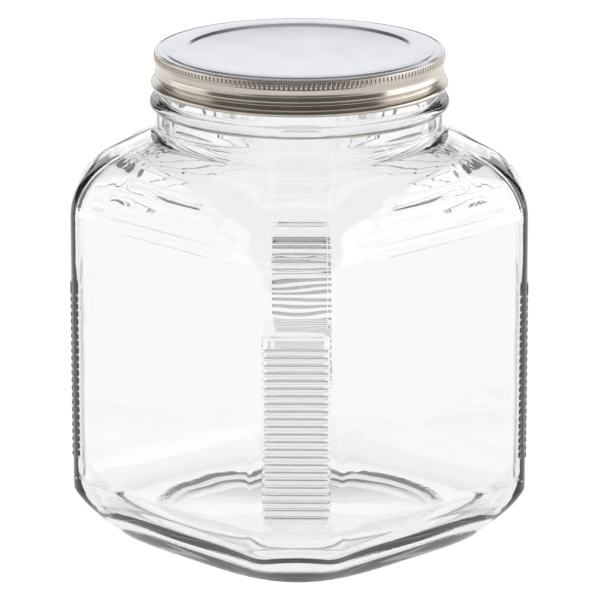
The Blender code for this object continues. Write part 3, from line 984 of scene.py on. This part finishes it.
@dataclass
class ScrewLid:
    """The one-piece cap: recessed panel, ring, knurled band, groove and rolled edge."""

    top_z: float = 208.5
    bottom_z: float = 193.1
    sheet: float = 0.6
    radius: float = 60.9
    panel_radius: float = 46.8
    panel_depth: float = 0.8
    ring_radius: float = 56.3
    ring_step: float = 0.4
    rim_line: float = 59.0
    rim_line_depth: float = 0.45
    knurl_top: float = 207.4
    knurl_bottom: float = 204.0
    knurl_count: int = 190
    knurl_depth: float = 0.35
    step_z: float = 198.9
    groove_radius: float = 59.2
    groove_z: float = 197.3
    curl_radius: float = 62.2
    curl_round: float = 1.2
    curl_start: float = math.radians(60.0)
    curl_turn: float = math.radians(250.0)
    curl_steps: int = 20
    centre_radius: float = 8.0
    knurl_share: float = 0.62
    painted_sheen_inset: float = 0.6
    columns: int = 240
    finish: SatinTinplate = field(default_factory=SatinTinplate)
    # Painted sheen: the top is the same tinplate, given a lighter, cooler copy that stands in for
    # the overhead light it catches
    panel_painted_sheen: SatinTinplate = SatinTinplate("tinplate_painted_top_sheen", "#D9DBDF", "#D0D3D8")

    def outside(self) -> list[Point]:
        """Profile from the middle of the top to the inner end of the curl.

        Returns:
            Radius and height of each point.
        """
        root = self.radius - self.knurl_depth
        ledge = self.top_z - self.ring_step
        panel = self.top_z - self.panel_depth
        corners = [
            (self.centre_radius, panel, 0.0),
            (self.panel_radius, panel, 0.5),
            (self.panel_radius + 0.5, self.top_z, 0.5),
            (self.ring_radius, self.top_z, 0.35),
            (self.ring_radius + 0.2, ledge, 0.2),
            (self.rim_line, ledge, 0.15),
            (self.rim_line + 0.3, ledge - self.rim_line_depth, 0.15),
            (self.rim_line + 0.7, ledge - 0.05, 0.2),
            (root, ledge - 0.05, 0.5),
            (root, self.knurl_bottom - 0.1, 0.3),
            (self.radius - 0.8, (self.knurl_bottom + self.step_z) / 2, 2.0),
            (self.radius - 0.2, self.step_z, 0.5),
            (self.groove_radius, self.groove_z + 0.5, 0.8),
            (self.groove_radius, self.groove_z - 1.0, 0.8),
            (self.curl_radius - 0.75, self.bottom_z + 2.0 * self.curl_round, 0.6),
        ]
        path = rounded_path(corners)[:-1]
        centre = (self.curl_radius - self.curl_round, self.bottom_z + self.curl_round)
        for step in range(self.curl_steps + 1):
            turn = self.curl_start - self.curl_turn * step / self.curl_steps
            path.append((centre[0] + self.curl_round * math.cos(turn),
                         centre[1] + self.curl_round * math.sin(turn)))
        return path

    def inside(self) -> list[Point]:
        """Profile of the hidden side, from the curl back to the middle of the top.

        Returns:
            Radius and height of each point.
        """
        ceiling = self.top_z - self.panel_depth - self.sheet
        wall = self.groove_radius - self.sheet
        return [(wall, self.bottom_z + 2.0 * self.curl_round), (wall, ceiling - 1.0),
                (wall - 1.0, ceiling + 0.2), (self.panel_radius + 1.2, ceiling + 0.2),
                (self.panel_radius, ceiling), (self.centre_radius, ceiling)]

    def knurl_tree(self) -> Tree:
        """Rule that sets upright teeth with round ends side by side round the band.

        Returns:
            A tree that makes the teeth from its named sizes.
        """
        tree, source, sink = new_tree("lid_knurls", {
            "Radius": 0.06, "Count": 12, "Tooth Height": 0.003, "Tooth Width": 0.001,
            "Middle": 0.2, "Metal": None})
        sizes = source.outputs
        circle = add_node(tree, "GeometryNodeMeshCircle",
                          {"Vertices": sizes["Count"], "Radius": sizes["Radius"]})
        half = calc(tree, Operation.MULTIPLY, sizes["Tooth Width"], 0.5)
        tooth = add_node(tree, "GeometryNodeMeshCylinder",
                         {"Vertices": 8, "Side Segments": 5, "Radius": half,
                          "Depth": sizes["Tooth Height"]})
        place = add_node(tree, "GeometryNodeInputPosition").outputs[0]
        level = add_node(tree, "ShaderNodeSeparateXYZ", {0: place}).outputs["Z"]
        share = calc(tree, Operation.DIVIDE, level, sizes["Tooth Height"])
        ends = calc(tree, Operation.MULTIPLY, share, 2.0)
        away = calc(tree, Operation.ABSOLUTE, ends)
        steep = calc(tree, Operation.POWER, away, 5.0)
        left = calc(tree, Operation.SUBTRACT, 1.02, steep)
        waist = calc(tree, Operation.POWER, left, 0.5)
        thin = add_node(tree, "ShaderNodeCombineXYZ", {0: waist, 1: waist, 2: 1.0})
        rounded = add_node(tree, "ShaderNodeVectorMath", {0: place, 1: thin.outputs[0]},
                           operation=Operation.MULTIPLY)
        shaped = add_node(tree, "GeometryNodeSetPosition",
                          {"Geometry": tooth.outputs["Mesh"], "Position": rounded.outputs[0]})
        teeth = add_node(tree, "GeometryNodeInstanceOnPoints",
                         {"Points": circle.outputs[0], "Instance": shaped.outputs[0]})
        lift = add_node(tree, "ShaderNodeCombineXYZ", {"Z": sizes["Middle"]})
        placed = add_node(tree, "GeometryNodeTransform",
                          {"Geometry": teeth.outputs[0], "Translation": lift.outputs[0]})
        end_tree(tree, placed.outputs[0], sizes["Metal"], sink)
        return tree

    def build(self) -> list[Piece]:
        """Turn the cap and set its knurls.

        Returns:
            The cap and the ring of knurls.
        """
        metal = self.finish.material()
        angles = np.arange(self.columns) * 2.0 * math.pi / self.columns
        rings = [np.column_stack([r * np.cos(angles), r * np.sin(angles),
                                  np.full(self.columns, z)])
                 for r, z in self.outside() + self.inside()]
        points, faces = skin(rings)
        cap = mesh_object("lid_tinplate", points, [tuple(reversed(face)) for face in faces])
        cap.data.materials.append(metal)
        cap.data.materials.append(self.panel_painted_sheen.material())
        # Painted sheen: faces of the top, out to just short of the edge, take the lighter copy
        lowest = (self.top_z - self.panel_depth - 0.1) * MM
        widest = (self.radius - self.painted_sheen_inset) * MM
        for face in cap.data.polygons:
            if face.center.z > lowest and math.hypot(face.center.x, face.center.y) < widest:
                face.material_index = 1
        empty = mesh_object("lid_knurls", np.zeros((0, 3)), [])
        width = self.knurl_share * 2.0 * math.pi * self.radius / self.knurl_count
        knurls = apply_tree(empty, self.knurl_tree(), {
            "Radius": (self.radius - width / 2) * MM, "Count": self.knurl_count,
            "Tooth Height": (self.knurl_top - self.knurl_bottom) * MM,
            "Tooth Width": width * MM,
            "Middle": (self.knurl_top + self.knurl_bottom) / 2 * MM, "Metal": metal})
        return [cap, knurls]


@dataclass(frozen=True)
class Card:
    """Level paper card, placed as the camera sees it, in metres from the jar's axis."""

    name: str
    across: Point
    ahead: Point
    glow: float
    height: float = 0.002
    seen: bool = False

    def build(self, turn: float) -> None:
        """Lay the card and set whether the camera sees it.

        Args:
            turn: Azimuth of the camera in radians.
        """
        right = np.array([math.cos(turn), math.sin(turn), 0.0])
        away = np.array([-math.sin(turn), math.cos(turn), 0.0])
        lift = np.array([0.0, 0.0, self.height])
        (left_x, right_x), (near, far) = self.across, self.ahead
        points = np.array([right * x + away * y + lift for x, y in
                           ((left_x, near), (right_x, near), (right_x, far), (left_x, far))])
        card = mesh_object(self.name, points / MM, [(0, 1, 2, 3)])
        material, tree, shader = new_material(self.name + "_paper_matt")
        fill(tree, shader, {"Base Color": linear("#4A4A4A" if self.seen else "#202020"),
                            "Roughness": 1.0, "Specular IOR Level": 0.0,
                            "Emission Color": WHITE, "Emission Strength": self.glow})
        card.data.materials.append(material)
        card.visible_camera = self.seen


@dataclass(frozen=True)
class Softbox:
    """Soft light that looks at the jar; sizes in metres, angles in degrees.

    The azimuth is measured round the jar from the camera's side, and a glow of 1 is
    white paper.
    """

    name: str
    size: Point
    glow: float
    azimuth: float
    elevation: float
    distance: float
    aim_z: float = 0.1

    def build(self, camera_turn: float) -> None:
        """Hang the light.

        Args:
            camera_turn: Azimuth of the camera in radians.
        """
        data = bpy.data.lights.new(self.name, "AREA")
        data.shape = "RECTANGLE"
        data.size, data.size_y = self.size
        data.energy = self.glow * math.pi * self.size[0] * self.size[1]
        light = bpy.data.objects.new(self.name, data)
        turn = camera_turn + math.radians(self.azimuth)
        rise = math.radians(self.elevation)
        level = self.distance * math.cos(rise)
        light.location = (level * math.sin(turn), -level * math.cos(turn),
                          self.aim_z + self.distance * math.sin(rise))
        light.rotation_euler = (QUARTER - rise, 0.0, turn)
        light.visible_camera = False
        bpy.context.scene.collection.objects.link(light)


@dataclass(frozen=True)
class Studio:
    """Pale seamless floor, soft lights and the camera at the photograph's angle.

    The dark near card draws the heel's lines and the pale ones beside the jar keep its
    walls light. Only the floor is seen by the camera itself.
    """

    camera_azimuth: float = math.radians(45.83)
    camera_elevation: float = math.radians(15.6)
    camera_distance: float = 2.04
    camera_reach: float = 100.0
    target_z: float = 0.0992
    pixels_per_metre: float = 2363.0
    shift_px: float = -0.4
    room_glow: float = 0.13
    cards: tuple[Card, ...] = (
        Card("pale_floor", (-6.0, 6.0), (-6.0, 6.0), 1.03, 0.0, True),
        Card("near_apron", (-1.1, 1.1), (-2.4, -0.55), 0.14),
        Card("left_apron", (-1.05, -0.66), (-0.5, 0.45), 0.6),
        Card("side_apron", (-0.65, -0.15), (-0.4, 0.3), 0.95),
        Card("side_apron", (0.15, 0.65), (-0.4, 0.3), 0.95))
    lights: tuple[Softbox, ...] = (
        Softbox("back_sweep", (3.2, 0.82), 1.04, 180.0, 12.6, 2.6),
        Softbox("overhead_softbox", (1.6, 1.6), 0.6, 180.0, 66.0, 2.2),
        Softbox("left_softbox", (1.2, 0.9), 0.95, -98.0, 14.0, 1.5),
        Softbox("right_softbox", (1.7, 0.9), 1.8, 100.0, 14.0, 1.5))

    def camera(self) -> None:
        """Place the camera and make it the scene's own."""
        data = bpy.data.cameras.new("photo_camera")
        data.sensor_width = SENSOR_MM
        data.lens = self.pixels_per_metre * self.camera_distance / PHOTO_WIDTH * SENSOR_MM
        data.shift_x = -self.shift_px / PHOTO_WIDTH
        data.clip_end = self.camera_reach
        camera = bpy.data.objects.new("photo_camera", data)
        level = self.camera_distance * math.cos(self.camera_elevation)
        height = self.camera_distance * math.sin(self.camera_elevation)
        camera.location = (level * math.sin(self.camera_azimuth),
                           -level * math.cos(self.camera_azimuth), self.target_z + height)
        camera.rotation_euler = (QUARTER - self.camera_elevation, 0.0, self.camera_azimuth)
        bpy.context.scene.collection.objects.link(camera)
        bpy.context.scene.camera = camera

    def room(self) -> None:
        """Set the room: white where the camera sees it, dim where the jar does."""
        scene = bpy.context.scene
        scene.view_settings.view_transform = "Standard"
        scene.view_settings.look = "None"
        world = bpy.data.worlds.new("pale_room")
        world.use_nodes = True
        tree = world.node_tree
        seen = add_node(tree, "ShaderNodeLightPath").outputs["Is Camera Ray"]
        glow = ramp(tree, seen, {"To Min": self.room_glow, "To Max": 1.0})
        fill(tree, tree.nodes["Background"], {"Color": WHITE, "Strength": glow})
        scene.world = world

    def build(self) -> None:
        """Set up the camera, the floor, the room and the lights."""
        self.camera()
        for card in self.cards:
            card.build(self.camera_azimuth)
        self.room()
        for light in self.lights:
            light.build(self.camera_azimuth)


def main() -> None:
    """Build the jar, the lid and the studio in order, and report each piece."""
    logging.basicConfig(level=logging.INFO, format="%(name)s: %(message)s")
    Studio().build()
    pieces = {"glass_jar": ([GlassJar().build()], "clear_glass"),
              "metal_lid": (ScrewLid().build(), "satin_tinplate")}
    for node, (made, slot) in pieces.items():
        for piece in made:
            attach(piece, BodyName.ROOT.value)
            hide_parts(node)
            LOG.info("%s: %d faces", piece.name, len(piece.data.polygons))


if __name__ == "__main__":
    main()
